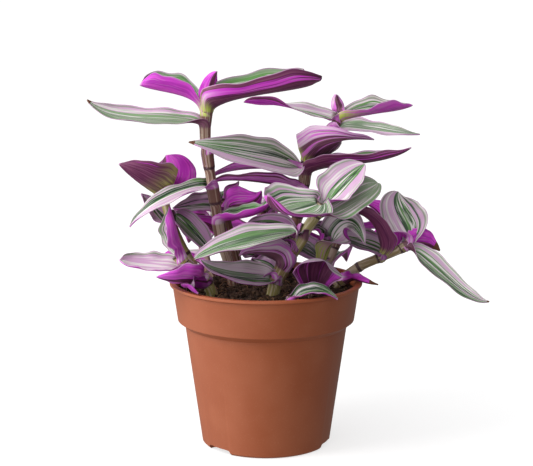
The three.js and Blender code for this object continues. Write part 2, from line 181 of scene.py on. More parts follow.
class PlantSizes(bpy.types.PropertyGroup):
    blade_thickness: length_property("Leaf thickness", "Thickness of a leaf at its midrib", 0.8)
    edge_wave: length_property("Edge wave", "Height of the waves along a leaf's edge", 0.7)
    sheath_wrap: bpy.props.FloatProperty(
        name="Sheath wrap", description="Half the angle that a leaf's sheath wraps round its stem",
        default=math.radians(145), unit="ROTATION", subtype="ANGLE")
    sheath_play: length_property("Sheath play", "Gap between a sheath's mouth and its stem", 0.5)
    soil_lumps: length_property("Soil lumps", "Height of the soil's lumps", 1.6)
    crumbs: bpy.props.IntProperty(
        name="Soil crumbs", description="Number of loose crumbs on the soil", default=1100, min=0)
    fibres: bpy.props.IntProperty(
        name="Fibres", description="Number of root and peat fibres on the soil", default=90, min=0)


def colour_property(name, description, code):
    return bpy.props.FloatVectorProperty(
        name=name, description=description, default=linear(code), size=4, min=0, max=1, subtype="COLOR")


class PlantColours(bpy.types.PropertyGroup):
    pink: colour_property("Pink", "Pale pink stripes of a leaf's upper side", "#D3ABCD")
    cream: colour_property("Cream", "Whitest stripes of a leaf", "#E6DEDF")
    green: colour_property("Green", "Green stripes of a leaf's upper side", "#5F8F4C")
    dark_green: colour_property("Dark green", "Darkest stripes of a leaf's upper side", "#2C4A30")
    grey_green: colour_property("Grey-green", "Silvery stripes of a leaf's upper side", "#95AB8B")
    rim: colour_property("Rim", "Thin rim of a leaf's upper side", "#C48FC0")
    # Mauve is partly old leaves' own colour and partly painted shade on the leaves inside the plant.
    mauve: colour_property("Mauve", "Tint of the old leaves inside the plant", "#AA8AAA")
    magenta: colour_property("Magenta", "Underside of a leaf", "#E44EDC")
    deep_magenta: colour_property("Deep magenta", "Deeper patches of a leaf's underside", "#C436C2")
    plum: colour_property("Plum", "Dark stripes of a leaf's underside", "#451D28")
    lime: colour_property("Lime", "Neck of a leaf", "#B9C758")
    stem: colour_property("Stem", "Skin of a stem", "#7A574B")
    stem_streak: colour_property("Stem streaks", "Pale streaks of a stem", "#D6C3AE")
    stem_green: colour_property("Young stem", "Skin of a young stem", "#A6A45E")
    node: colour_property("Node ring", "Ring at a stem's joint", "#3B1E2B")
    pot: colour_property("Pot", "Terracotta-coloured plastic", "#A45633")
    soil: colour_property("Soil", "Moist peat", "#2A1C15")
    fibre: colour_property("Fibre", "Roots and peat fibres", "#8F6A48")


class Leaf:
    """One leaf: its shape as in the CAD model, and its markings.

    It grows from a stem's joint, in a sheath of the given length, and its midrib passes the via point on its
    way to the tip. bend is how far the midrib keeps to the stem's direction. face and tip_face are where the
    upper side looks, cup is the blade's half angle of curl, and opening is the share over which it unrolls.
    neck is its width at the sheath as a share of the sheath's girth, widest is the share where it is widest,
    and blunt rounds the tip.

    green is the middle and the half width of the green zone across the blade, from -1 to 1 and seen from the
    stem with +1 on the right. mauve, dark and pale are how far those tints go, where mauve stands for an old
    leaf's colour and for painted shade inside the plant. brown and lime are the shares of the dry tip and of
    the yellowish neck, and edge is the share of the underside's rim that is pale.
    """

    def __init__(self, joint, via, tip, width, face, sheath=11, bend=9, cup=55, opening=0.32, neck=0.62,
                 widest=0.38, blunt=0, tip_face=None, green=(0, 0.45), mauve=0, dark=0.45, pale=0, brown=0,
                 lime=0, edge=0.02):
        self.joint, self.via, self.tip, self.width = joint, Vector(via), Vector(tip), width
        self.face, self.tip_face = Vector(face).normalized(), Vector(tip_face or face).normalized()
        self.sheath, self.bend, self.cup, self.opening = sheath, bend, cup, opening
        self.neck, self.widest, self.blunt = neck, widest, blunt
        self.green, self.mauve, self.dark, self.pale = green, mauve, dark, pale
        self.brown, self.lime, self.edge = brown, lime, edge


class Stem:
    """One leafy stem: its radius at the foot and at the top, its joints from the foot up, and its leaves.

    young is how green its skin is, from 0 to 1.
    """

    def __init__(self, name, foot, top, joints, leaves, young=0.0):
        self.name, self.foot, self.top, self.young = name, foot, top, young
        self.joints = [Vector(joint) for joint in joints]
        self.leaves = leaves

    def radius(self, share):
        """The stem's own radius inside its sheaths, at a share of the way up."""
        return SKIN_SHARE * (self.foot + (self.top - self.foot) * share)


STEMS = (
    Stem("stem_tall_left", 4, 3, (
        (-17, 8, 80), (-23, 5, 112), (-28, 3, 129), (-31.5, 1, 152), (-35, 0, 174), (-37, 0, 189),
        (-37, -1, 200), (-36, 0, 210),
    ), (
        Leaf(2, (-13, -8, 145), (2.5, -14, 158), 24, (-0.1, -0.1, 1), cup=60, bend=4, green=(-0.4, 0.5),
             dark=0.1),
        Leaf(3, (-58, -20, 159), (-83, -24, 141.5), 18, (-0.4, -0.55, 0.8), 10, cup=30, bend=5,
             green=(0.6, 0.35), dark=0.4),
        Leaf(4, (-8, 17, 179), (14, 18, 183), 20, (0, -0.1, 1), 9),
        Leaf(5, (-74, -6, 205.5), (-108, -8, 217), 19, (0, -0.5, 1), cup=28, widest=0.58,
             green=(-0.35, 0.8), dark=0.9, pale=0.6, brown=0.04),
        Leaf(6, (13.4, -10, 223.5), (29.5, -9, 229), 38, (-0.3, -0.1, 1), 9, cup=85, bend=12, opening=0.4,
             neck=2, widest=0.6, blunt=1.3, tip_face=(0.1, 0.1, 1), green=(-0.1, 0.82), dark=0.75,
             lime=0.08),
        Leaf(6, (-56, 6, 219.7), (-77, 8, 224.5), 34, (0.1, 0.1, 1), 6, bend=15, cup=85, neck=0.2,
             widest=0.62, blunt=1.9, tip_face=(-0.4, 0, 1), green=(0.75, 0.3), dark=0.35, lime=0.2),
        Leaf(7, (-35, 5, 221), (-30, 5, 233), 14, (0, 1, 0.3), 3, bend=4, dark=0.3),
    )),
    Stem("stem_leaning_right", 4.2, 2.6, (
        (5, 25, 80), (14, 24, 115), (20, 22, 140), (24, 21, 160), (25, 21, 174), (36, 24, 189),
        (44, 27, 198), (48, 29, 204),
    ), (
        Leaf(1, (27, 14, 119), (40, 10, 115), 20, (0, -0.7, 0.7), 4, mauve=0.9),
        Leaf(2, (-6, 12, 164), (-34, 8, 164), 20, (0, 0.3, 1), 16, cup=60, bend=3, dark=0.7, pale=0.3),
        Leaf(3, (-10, 14, 172), (-36, 10, 166), 20, (0, 0.3, 1), 8, cup=50, bend=3, dark=0.3, pale=0.3),
        Leaf(3, (55, 3, 176.5), (88, -8, 188), 26, (-0.1, 0.1, 1), 7, cup=70, neck=0.9, green=(-0.1, 0.8),
             dark=0.9, pale=0.1),
        Leaf(3, (-14, -17, 184.5), (-46, -28, 194), 32, (0.3, -0.7, 0.8), 10, bend=3, cup=35, neck=0.15,
             widest=0.42, green=(0.28, 0.42), pale=0.05, brown=0.04),
        Leaf(4, (32.5, 3, 186), (66, 0, 192), 32, (0, 0.9, 0.3), 0, cup=58, bend=8, neck=2.2, widest=0.3,
             tip_face=(-0.1, 0.3, 1), green=(-0.15, 0.5), dark=0.5, pale=0.65, lime=0.2),
        Leaf(5, (66, 8, 197), (95, 5, 194.5), 15, (0, -0.55, 0.9), 8, cup=32, neck=0.5, green=(-0.3, 0.5),
             pale=0.5),
        Leaf(6, (15, 26, 209), (-14, 25, 212), 11, (0, -0.6, 0.8), 1, bend=3, cup=35, widest=0.66,
             tip_face=(0, 0.9, 0.4), green=(-0.7, 0.35), dark=0.1),
        Leaf(6, (66, 30, 204.5), (92, 32, 209.5), 27, (-0.1, -0.3, 1), 3, cup=76, neck=0.9, widest=0.55,
             tip_face=(-0.1, 0.2, 1), green=(-0.3, 0.5), dark=0.35, pale=0.15, lime=0.35),
        Leaf(7, (45, 31, 209), (44.5, 32, 216), 9, (0, 1, 0.2), 0, bend=1, pale=0.7),
    )),
    Stem("stem_front", 4.6, 3.4, (
        (2, -22, 80), (6, -25, 108), (13, -27, 122), (22, -28, 137), (30, -28, 149), (34, -27, 156),
    ), (
        Leaf(1, (-20, -38, 115), (-39, -42, 125), 20, (0.1, -0.7, 0.7), 0, bend=2, mauve=0.55,
             green=(-0.1, 0.35)),
        Leaf(1, (0, -22, 115), (-8, -20, 121), 18, (0, -0.9, 0.4), 2, bend=3, cup=30, mauve=0.7),
        Leaf(1, (-2, -34, 127), (-16, -38, 127), 28, (-0.4, 0.1, 0.9), 10, bend=7, cup=70, opening=0.45,
             neck=1.3, green=(0, 0.6), dark=0.35, mauve=0.5, pale=0.85),
        Leaf(2, (-11, -42, 136), (-43, -50, 126.5), 24, (-0.1, -0.45, 0.9), 17, bend=3, cup=42, neck=0.3,
             widest=0.5, green=(-0.1, 0.75), pale=0.2, brown=0.02),
        Leaf(2, (3, -22, 139), (-13, -20, 140), 24, (0, -0.9, 0.4), 8, mauve=0.9, green=(0.1, 0.7)),
        Leaf(4, (13, -48, 155), (2, -63, 168), 50, (0.35, -0.04, 0.93), 6, bend=4, cup=37, opening=0.25,
             neck=0.8, widest=0.45, green=(-0.1, 0.8), dark=0.1, pale=0.1),
        Leaf(4, (49, -20, 157), (68.5, -8, 166), 26, (-0.2, -0.8, 0.5), 1, bend=3, cup=30, blunt=1,
             green=(0, 0.9), pale=0.95),
        Leaf(5, (48, -17, 168.5), (60, -12, 178), 28, (-0.3, -0.8, 0.6), 1, bend=5, cup=40, blunt=1,
             green=(0.05, 0.2)),
    ), 0.6),
    Stem("stem_left", 3.6, 2.6, (
        (-28, 0, 80), (-40, 0, 104), (-50, 0, 120), (-58, 0, 138), (-63, 0, 154), (-64, 1, 160),
    ), (
        Leaf(3, (-70, 4, 149), (-77, 4, 157), 15, (0.3, -0.8, 0.3), 1, bend=3, mauve=0.8),
        Leaf(3, (-46, -4, 135), (-34, -12, 124), 20, (0.2, -0.6, 0.8), 3, mauve=0.6, green=(0, 0.5)),
        Leaf(4, (-76, -10, 166.5), (-88.5, -14, 178.5), 48, (0.45, 0.5, 0.7), 3, bend=1, cup=100, neck=2.4,
             widest=0.3, green=(-0.2, 0.6), dark=0.85, lime=0.42),
        Leaf(5, (-60, 3, 172), (-61.5, 8, 180), 36, (0, 1, 0.1), 0, bend=4, cup=32, blunt=1, neck=1.2,
             widest=0.5, green=(0.55, 0.35), dark=0.5, lime=0.2),
    ), 0.9),
    Stem("stem_front_left", 4.2, 3.6, (
        (-28, -16, 80), (-36, -21, 106), (-44, -24, 114), (-50, -25, 119), (-54, -25, 124),
    ), (
        Leaf(1, (-52, -34, 110.5), (-65.5, -36, 113.5), 30, (0, 0.65, 0.76), 3, cup=45, dark=0.1, pale=0.1),
        Leaf(1, (-46, -36, 108), (-40, -45, 105), 13, (-0.2, 0.85, 0.5), 0, bend=2, mauve=0.9,
             green=(0, 0.2)),
        Leaf(2, (-72, -26, 118), (-88, -29, 122), 18, (0, -0.5, 0.8), 5, blunt=2, green=(0.95, 0.08),
             mauve=0.1, dark=0.1),
        Leaf(3, (-54, -24, 136), (-59, -24, 153.5), 34, (-0.95, -0.2, 0.2), 2, cup=65, widest=0.5,
             green=(-0.6, 0.06), dark=0.05, pale=0.1),
    ), 0.8),
    Stem("stem_middle_right", 3.2, 2.4, (
        (22, -14, 80), (30, -12, 104), (33, -12, 117), (36, -12, 128), (37, -12, 132),
    ), (
        Leaf(2, (51, -18, 142), (60, -26, 131), 24, (0.3, -0.7, 0.6), 3, bend=20, cup=35, opening=0.45,
             neck=1.3, green=(0.1, 0.45), mauve=0.3, lime=0.3),
        Leaf(4, (32, -16, 138), (28, -20, 139), 14, (0, -0.6, 0.8), 0, bend=2, mauve=0.8),
    ), 0.8),
    Stem("shoot_hooded", 2.6, 2.2, (
        (26, -30, 80), (28, -32, 101), (28.5, -33, 107),
    ), (
        Leaf(1, (30, -37, 117), (35, -50, 126), 38, (0, 0.75, 0.66), 2, cup=-60, blunt=1.5, bend=3,
             neck=0.8, widest=0.7, dark=0.6, mauve=0.6, edge=0.07),
    )),
    Stem("shoot_front", 2.2, 1.8, (
        (10, -46, 80), (12, -48, 97), (15, -49, 104),
    ), (
        Leaf(1, (28, -50, 108), (43, -50, 102.5), 11, (0, -0.5, 0.8), 5, green=(-0.2, 0.8), mauve=0.4),
    ), 0.7),
    Stem("stem_right", 3.6, 2.8, (
        (28, 4, 80), (46, 4, 101), (58, 2, 111), (70, 0, 117), (84, 0, 123), (88, 0, 126),
    ), (
        Leaf(1, (58, -10, 105.5), (69, -14, 104), 12, (0.2, 0.6, 0.8), 3, dark=0.2, brown=0.15),
        Leaf(3, (55, -4, 128.5), (43, -3, 134), 22, (0, -0.6, 0.8), 1, mauve=0.7),
        Leaf(3, (70, -6, 135), (50, -8, 148), 20, (0.8, 0.5, 0.4), 1, cup=60, dark=1.1, lime=0.15),
        Leaf(3, (76, 10, 137), (62, 14, 150), 28, (0.2, 0.9, 0.3), 1, cup=60, dark=0.2),
        Leaf(4, (98, 6, 126), (109, 8, 120.5), 20, (0, 0.9, 0.4), 2, neck=1, dark=0.2, brown=0.15),
        Leaf(4, (109, -7, 109.5), (138, -12, 92.5), 15, (0.3, -0.8, 0.6), 3, cup=38, green=(0.35, 0.7),
             pale=0.15, brown=0.03),
        Leaf(5, (84, 8, 143), (83, 16, 156.5), 30, (0.1, -0.8, 0.6), 1, cup=30, blunt=1, green=(0.15, 0.4),
             dark=0.1, pale=0.1),
    ), 0.3),
    Stem("stem_behind_left", 3.4, 2.4, (
        (-14, 26, 80), (-18, 26, 108), (-22, 24, 126), (-26, 20, 142), (-28, 18, 152),
    ), (
        Leaf(1, (-42, 20, 136), (-56, 16, 138), 16, (0, 0.6, 0.8), 12, dark=0.3),
        Leaf(3, (-46, 16, 147), (-58, 12, 147), 20, (0, -0.6, 0.8), 1, mauve=0.7),
        Leaf(3, (-16, 14, 149.5), (-3, 14, 157), 22, (0, 1, 0.1), 1, cup=35, dark=0.2),
        Leaf(4, (-28, 44, 151), (-26, 68, 142), 26, (0, 0, 1), 0),
    )),
    Stem("stem_behind_middle", 3.6, 2.6, (
        (0, 36, 80), (-2, 38, 104), (-3, 42, 118), (-3, 46, 130), (-2, 49, 138),
    ), (
        Leaf(1, (22, 52, 118), (42, 58, 116), 26, (0, 0.3, 1), 6),
        Leaf(1, (-15, 40, 118), (-31, 41, 125), 22, (0, -0.7, 0.7), 3, mauve=0.8),
        Leaf(2, (-20, 64, 124), (-30, 78, 117), 26, (0, 0.3, 1), 4),
        Leaf(3, (2, 76, 136), (6, 98, 126), 30, (0, 0.3, 1), 4),
        Leaf(4, (14, 52, 146), (28, 54, 148), 22, (0, 0, 1), 1),
        Leaf(4, (-12, 56, 141), (-24, 60, 140), 22, (0, 0, 1), 1),
    )),
    Stem("stem_behind_right", 3.4, 2.5, (
        (30, 26, 80), (38, 32, 102), (44, 38, 116), (48, 43, 128), (50, 46, 136),
    ), (
        Leaf(1, (48, 58, 110), (54, 76, 100), 26, (0, 0.2, 1), 4),
        Leaf(2, (62, 42, 128), (76, 44, 128), 24, (0.2, 0.2, 1), 3),
        Leaf(3, (32, 62, 136), (20, 78, 132), 26, (0, 0.2, 1), 3),
        Leaf(4, (56, 60, 142), (60, 76, 138), 24, (0, 0.1, 1), 1),
    )),
    Stem("stem_far_left", 3.4, 2.5, (
        (-28, 20, 80), (-36, 30, 102), (-40, 38, 114), (-40, 44, 124), (-38, 47, 131),
    ), (
        Leaf(1, (-54, 44, 109), (-70, 52, 104), 26, (0, 0.2, 1), 4),
        Leaf(2, (-46, 62, 120), (-52, 80, 112), 26, (0, 0.2, 1), 3),
        Leaf(3, (-33, 62, 132), (-30, 82, 124), 24, (0, 0.3, 1), 1),
        Leaf(4, (-50, 50, 136), (-62, 53, 139), 22, (0, 0, 1), 1),
    )),
)


def smoothstep(value, low, high):
    share = min(max((value - low) / (high - low), 0.0), 1.0)
    return share * share * (3 - 2 * share)


def start_modelling():
    """Leaves edit mode and deselects everything, so that an operator acts on what it adds."""
    if bpy.context.object and bpy.context.object.mode != "OBJECT":
        bpy.ops.object.mode_set(mode="OBJECT")
    bpy.ops.object.select_all(action="DESELECT")


def only(piece):
    start_modelling()
    piece.select_set(True)
    bpy.context.view_layer.objects.active = piece


def settle(piece):
    """Puts a piece's place, turn and scale into its mesh."""
    only(piece)
    bpy.ops.object.transform_apply(location=True, rotation=True, scale=True)


def named(piece, name):
    piece.name = name
    piece.data.name = name
    return piece


def linked(name, data):
    """A new object in the scene, for a mesh, a curve, a light or a camera."""
    thing = bpy.data.objects.new(name, data)
    bpy.context.collection.objects.link(thing)
    return thing


def join(pieces, name):
    only(pieces[0])
    for piece in pieces:
        piece.select_set(True)
    bpy.ops.object.join()
    return named(bpy.context.object, name)


def apply_modifier(piece, kind, **settings):
    only(piece)
    modifier = piece.modifiers.new(kind.title(), kind)
    for key, value in settings.items():
        setattr(modifier, key, value)
    bpy.ops.object.modifier_apply(modifier=modifier.name)


def smooth_shading(piece, degrees):
    only(piece)
    bpy.ops.object.shade_smooth_by_angle(angle=math.radians(degrees))


def extrude_up(rise, widening):
    """Extrudes what is selected upwards and scales it about its middle."""
    bpy.ops.mesh.extrude_region_move(TRANSFORM_OT_translate={"value": (0, 0, rise)})
    bpy.ops.transform.resize(value=(widening, widening, 1))


def ring_body(profile, segments):
    """A closed body turned about the Z axis: a disc whose face is extruded and scaled up the profile."""
    radius, level = profile[0]
    start_modelling()
    bpy.ops.mesh.primitive_circle_add(
        vertices=segments, radius=radius * MM, fill_type="NGON", location=(0, 0, level * MM))
    body = bpy.context.object
    bpy.ops.object.mode_set(mode="EDIT")
    bpy.ops.mesh.select_all(action="SELECT")
    for next_radius, next_level in profile[1:]:
        extrude_up((next_level - level) * MM, next_radius / radius)
        radius, level = next_radius, next_level
    bpy.ops.mesh.select_all(action="SELECT")
    bpy.ops.mesh.normals_make_consistent(inside=False)
    bpy.ops.object.mode_set(mode="OBJECT")
    settle(body)
    return body


def add_node(tree, kind, *values, inputs=None, output=None, **settings):
    """Adds a shader node with its settings, and sets or links its inputs. Returns its first live output.

    values are for the node's live inputs in their order, inputs has those that are named, and output names
    another output.
    """
    node = tree.nodes.new("ShaderNode" + kind)
    for key, value in settings.items():
        setattr(node, key, value)
    live = [socket for socket in node.inputs if socket.enabled]
    chosen = [(node.inputs[key], value) for key, value in (inputs or {}).items()]
    for socket, value in [*zip(live, values), *chosen]:
        if isinstance(value, bpy.types.NodeSocket):
            tree.links.new(value, socket)
        else:
            socket.default_value = value
    if output:
        return node.outputs[output]
    return next((socket for socket in node.outputs if socket.enabled), None)


def coat(piece, name, surface):
    """Adds the material of that name to a piece. The first call makes it, from what surface returns."""
    material = bpy.data.materials.get(name)
    if not material:
        material = bpy.data.materials.new(name)
        material.use_nodes = True
        material.node_tree.nodes.clear()
        add = partial(add_node, material.node_tree)
        inputs = surface(add, bpy.context.scene.plant_colours)
        add("OutputMaterial", add("BsdfPrincipled", inputs=inputs))
    piece.data.materials.append(material)


def attribute_parts(add, name):
    """The three values of an attribute of the piece."""
    vector = add("Attribute", attribute_name=name, output="Vector")
    return add("SeparateXYZ", vector).node.outputs


# Settings of nodes that are used often. A smooth map range takes a value, its ends, and what they become,
# which is 0 and 1 unless given.
COLOUR = {"data_type": "RGBA"}
SMOOTH = {"interpolation_type": "SMOOTHSTEP"}
NOISE_ROUGHNESS = 0.55


def layered(add, colour, *layers):
    """Lays colours over one. Each share goes from start to end while its value goes from low to high."""
    for value, low, high, start, end, over in layers:
        share = add("MapRange", value, low, high, start, end, **SMOOTH)
        colour = add("Mix", share, colour, over, **COLOUR)
    return colour


# Stripes of a leaf. Their spacings are in millimetres, and along the leaf they drift by STRIPE_DRIFT. A
# place is green where the weighted sum of its zone, bands and lines is above -GREEN_SHIFT.
BAND_SPACING = 4.0
SHADE_SPACING = 2.2
LINE_SPACING = 1.4
THREAD_SPACING = 0.6
STRIPE_DRIFT = 1.6
SHADE_SEED = 31.0
ZONE_WEIGHT = 2.2
BAND_WEIGHT = 4.2
LINE_WEIGHT = 2.0
GREEN_SHIFT = -3.1


class LeafStripes:
    """The stripes that run along a leaf and show on both of its sides, and that leaf's own markings.

    Above 0, green_value is green.
    """

    def __init__(self, add):
        across, self.along, half = attribute_parts(add, "blade")
        centre, zone, seed = attribute_parts(add, "zone")
        self.mauve, self.dark, self.pale = attribute_parts(add, "tone")
        self.brown, self.lime, self.young = attribute_parts(add, "ends")
        self.edge = attribute_parts(add, "stalk")[0]
        self.side = add("Math", across, operation="ABSOLUTE")
        across_mm = add("Math", across, half, operation="MULTIPLY")
        past_sheath = add("Math", self.along, 0, operation="MAXIMUM")
        drift = add("Math", past_sheath, STRIPE_DRIFT, operation="MULTIPLY")
        veins = add("CombineXYZ", across_mm, drift, seed)
        shade_seed = add("Math", seed, SHADE_SEED, operation="ADD")
        patches = add("CombineXYZ", across_mm, drift, shade_seed)
        self.bands, self.lines, self.threads = (
            add("TexNoise", veins, 1 / spacing, 1, NOISE_ROUGHNESS)
            for spacing in (BAND_SPACING, LINE_SPACING, THREAD_SPACING))
        self.shades = add("TexNoise", patches, 1 / SHADE_SPACING, 2, NOISE_ROUGHNESS)
        shift = add("Math", across, centre, operation="SUBTRACT")
        offset = add("Math", shift, operation="ABSOLUTE")
        depth = add("Math", zone, offset, operation="SUBTRACT")
        inside = add("Math", depth, ZONE_WEIGHT, GREEN_SHIFT, operation="MULTIPLY_ADD")
        banded = add("Math", self.bands, BAND_WEIGHT, inside, operation="MULTIPLY_ADD")
        self.green_value = add("Math", self.lines, LINE_WEIGHT, banded, operation="MULTIPLY_ADD")


# Leaf: a waxy living leaf with a soft satin gloss and shallow ridges between its veins. A little light
# spreads inside it. A leaf inside the plant is tinted mauve, partly for an old leaf's duller colour and
# partly as painted shade. A dried-up end is brown.
DRY_LEAF = "#6E4530"


def leaf_surface(add, colours, stripes, colour):
    # Partly painted shade: leaves inside the plant are multiplied by mauve, which also gives old leaves
    # their duller colour.
    aged_and_shaded = add("Mix", stripes.mauve, colour, colours.mauve, blend_type="MULTIPLY", **COLOUR)
    dry_start = add("Math", 1, stripes.brown, operation="SUBTRACT")
    dry = add("Math", stripes.along, dry_start, operation="GREATER_THAN")
    return {
        "Base Color": add("Mix", dry, aged_and_shaded, linear(DRY_LEAF), **COLOUR),
        "Normal": add("Bump", inputs={"Height": stripes.lines, "Distance": 0.25 * MM, "Strength": 0.6}),
        "Roughness": 0.45, "IOR": 1.42, "Specular IOR Level": 0.35,
        "Subsurface Weight": 0.2, "Subsurface Radius": (1.0, 0.45, 0.8), "Subsurface Scale": MM,
    }


# Leaf, upper side: silvery cells lie over green stripes and over colourless ones, which look pink and cream.
def upper_leaf(add, colours):
    stripes = LeafStripes(add)
    pink = layered(
        add, colours.pink,
        (stripes.shades, 0.46, 0.56, 0, 1, colours.cream),
        (stripes.threads, 0.36, 0.42, 0.45, 0, colours.grey_green))
    deep = layered(add, colours.dark_green, (stripes.shades, 0.44, 0.54, 0, 1, colours.green))
    silver_band = add("MapRange", stripes.bands, 0.57, 0.62, 0, 0.7, **SMOOTH)
    silver = add("Math", silver_band, stripes.pale, operation="MAXIMUM")
    silvery = add("Mix", silver, deep, colours.grey_green, **COLOUR)
    white_thread = add("MapRange", stripes.threads, 0.56, 0.62, 0, 0.45, **SMOOTH)
    white_line = add("MapRange", stripes.lines, 0.37, 0.41, 0.9, 0, **SMOOTH)
    white = add("Math", white_thread, white_line, operation="MAXIMUM")
    green = add("Mix", white, silvery, colours.cream, **COLOUR)
    striped = layered(add, pink, (stripes.green_value, -0.04, 0.06, 0, 1, green))
    hem_inside = add("MapRange", stripes.side, 0.8, 0.85, **SMOOTH)
    hem_outside = add("MapRange", stripes.side, 0.88, 0.93, 0.6, 0, **SMOOTH)
    hem = add("Math", hem_inside, hem_outside, operation="MULTIPLY")
    hemmed = add("Mix", hem, striped, colours.green, **COLOUR)
    rimmed = layered(add, hemmed, (stripes.side, 0.95, 0.99, 0, 0.6, colours.rim))
    return leaf_surface(add, colours, stripes, rimmed)


# Leaf, underside: the lower skin is full of purple pigment. It glows magenta under the pale stripes, where
# light comes through, and is dark plum under the green ones. The sheath has the stem's skin.
RED_PLUM = "#663545"
RED_THREAD = "#9A5A78"


def under_leaf(add, colours):
    stripes = LeafStripes(add)
    lines, threads, along = stripes.lines, stripes.threads, stripes.along
    magenta = layered(
        add, colours.magenta,
        (stripes.shades, 0.4, 0.6, 0, 1, colours.deep_magenta),
        (threads, 0.58, 0.66, 0, 0.4, colours.pink))
    pale = layered(add, colours.pink, (lines, 0.48, 0.6, 0, 0.8, colours.cream))
    base_glow = add("MapRange", along, 0, 0.3, 0.7, 0, **SMOOTH)
    glow = add("Math", stripes.pale, base_glow, operation="MAXIMUM")
    streaky = add("MapRange", lines, 0.42, 0.56, 0.45, 1.25, **SMOOTH)
    pale_share = add("Math", glow, streaky, operation="MULTIPLY")
    paled = add("Mix", pale_share, magenta, pale, **COLOUR)
    plum = layered(
        add, colours.plum,
        (lines, 0.4, 0.6, 0, 1, linear(RED_PLUM)),
        (threads, 0.55, 0.62, 0, 0.45, linear(RED_THREAD)))
    darkness = add("Math", stripes.dark, 1.6, -0.75, operation="MULTIPLY_ADD")
    plum_value = add("Math", darkness, stripes.green_value, operation="ADD")
    dark_rim = add("MapRange", stripes.side, 0.86, 0.94, 0, 0.9, **SMOOTH)
    plum_value = add("Math", plum_value, dark_rim, operation="ADD")
    striped = layered(add, paled, (plum_value, -0.05, 0.12, 0, 0.92, plum))
    neck_end = add("Math", stripes.lime, 1.5, operation="MULTIPLY")
    neck = add("MapRange", along, 0, neck_end, 1, 0, **SMOOTH)
    neck_line = add("MapRange", lines, 0.4, 0.52, 0.35, 1, **SMOOTH)
    neck_share = add("Math", neck, neck_line, operation="MULTIPLY")
    blade = add("Mix", neck_share, striped, colours.lime, **COLOUR)
    skin = add("Mix", stripes.young, colours.stem, colours.stem_green, **COLOUR)
    outer = add("Math", stripes.side, along, operation="MAXIMUM")
    border = add("Math", outer, stripes.edge, operation="ADD")
    rimmed = layered(
        add, skin,
        (lines, 0.5, 0.6, 0, 0.6, colours.stem_streak),
        (along, -0.97, -0.88, 0.8, 0, colours.node),
        (along, -0.15, 0.05, 0, 1, blade),
        (border, 0.99, 1.01, 0, 0.75, colours.pink))
    return leaf_surface(add, colours, stripes, rimmed)


# Stem: a fleshy living stem with a thin, smooth skin that is streaked lengthways and ringed at its joints.
STEM_STREAK_SPACING = 1.4
STEM_STREAK_STRETCH = 0.06


def stem_surface(add, colours):
    around, along, gap = attribute_parts(add, "stalk")
    young = attribute_parts(add, "ends")[2]
    lengthways = add("Math", along, STEM_STREAK_STRETCH, operation="MULTIPLY")
    skin = add("CombineXYZ", around, lengthways)
    streaks = add("TexNoise", skin, 1 / STEM_STREAK_SPACING, 2, NOISE_ROUGHNESS)
    colour = layered(
        add, add("Mix", young, colours.stem, colours.stem_green, **COLOUR),
        (streaks, 0.48, 0.6, 0, 0.6, colours.stem_streak),
        (gap, 0.7, 1.5, 0.9, 0, colours.node))
    return {
        "Base Color": colour,
        "Normal": add("Bump", inputs={"Height": streaks, "Distance": 0.2 * MM, "Strength": 0.4}),
        "Roughness": 0.38, "IOR": 1.42,
        "Subsurface Weight": 0.1, "Subsurface Radius": (1.0, 0.5, 0.5), "Subsurface Scale": MM,
    }


# Pot: injection-moulded polypropylene, with a fine satin grain that spreads the light softly. Its tint
# varies over 30 mm. A real pot's grain is too fine to show, and is drawn 0.9 mm coarse.
PALE_TERRACOTTA = "#B56A49"
TERRACOTTA_DUST = "#D9A68C"


def pot_surface(add, colours):
    place = add("TexCoord", output="Object")
    cloudy = add("TexNoise", place, 1 / (30 * MM), 2, NOISE_ROUGHNESS)
    speck = add("TexNoise", place, 1 / (0.9 * MM), 3, NOISE_ROUGHNESS)
    colour = layered(
        add, colours.pot,
        (cloudy, 0.35, 0.65, 0, 0.35, linear(PALE_TERRACOTTA)),
        (speck, 0.55, 0.75, 0, 0.08, linear(TERRACOTTA_DUST)))
    return {
        "Base Color": colour, "IOR": 1.49, "Specular IOR Level": 0.45,
        "Roughness": add("MapRange", cloudy, 0.3, 0.7, 0.42, 0.5, **SMOOTH),
        "Normal": add("Bump", inputs={"Height": speck, "Distance": 0.06 * MM, "Strength": 0.35}),
    }


# Soil: moist peat compost. Crumbs and pores of about 1 to 3.5 mm give it a broken, matte surface.
BROWN_PEAT = "#4A3526"
BARK_FLECK = "#8A6B4E"


def soil_surface(add, colours):
    place = add("TexCoord", output="Object")
    lumps = add("TexNoise", place, 1 / (3.5 * MM), 4, NOISE_ROUGHNESS)
    specks = add("TexNoise", place, 1 / MM, 2, NOISE_ROUGHNESS)
    colour = layered(
        add, colours.soil,
        (lumps, 0.35, 0.65, 0, 1, linear(BROWN_PEAT)),
        (specks, 0.62, 0.72, 0, 0.5, linear(BARK_FLECK)))
    bump = add("Bump", inputs={"Height": lumps, "Distance": 1.5 * MM, "Strength": 0.9})
    return {"Base Color": colour, "Normal": bump, "Roughness": 0.95, "IOR": 1.4}


# Fibres: dry root and peat threads, matte and light brown, with darker stretches about 4 mm long.
DARK_FIBRE = "#4E3324"


def fibre_surface(add, colours):
    place = add("TexCoord", output="Object")
    patches = add("TexNoise", place, 1 / (4 * MM), 2, NOISE_ROUGHNESS)
    colour = layered(add, colours.fibre, (patches, 0.35, 0.65, 0, 1, linear(DARK_FIBRE)))
    return {"Base Color": colour, "Roughness": 0.85, "IOR": 1.45}


# Floor: white studio paper, matte. It glows a little, so that it stays white.
def paper_surface(add, colours):
    return {
        "Base Color": linear("#AAAAAA"), "Roughness": 0.9, "Specular IOR Level": 0,
        "Emission Color": (1, 1, 1, 1), "Emission Strength": 0.72,
    }


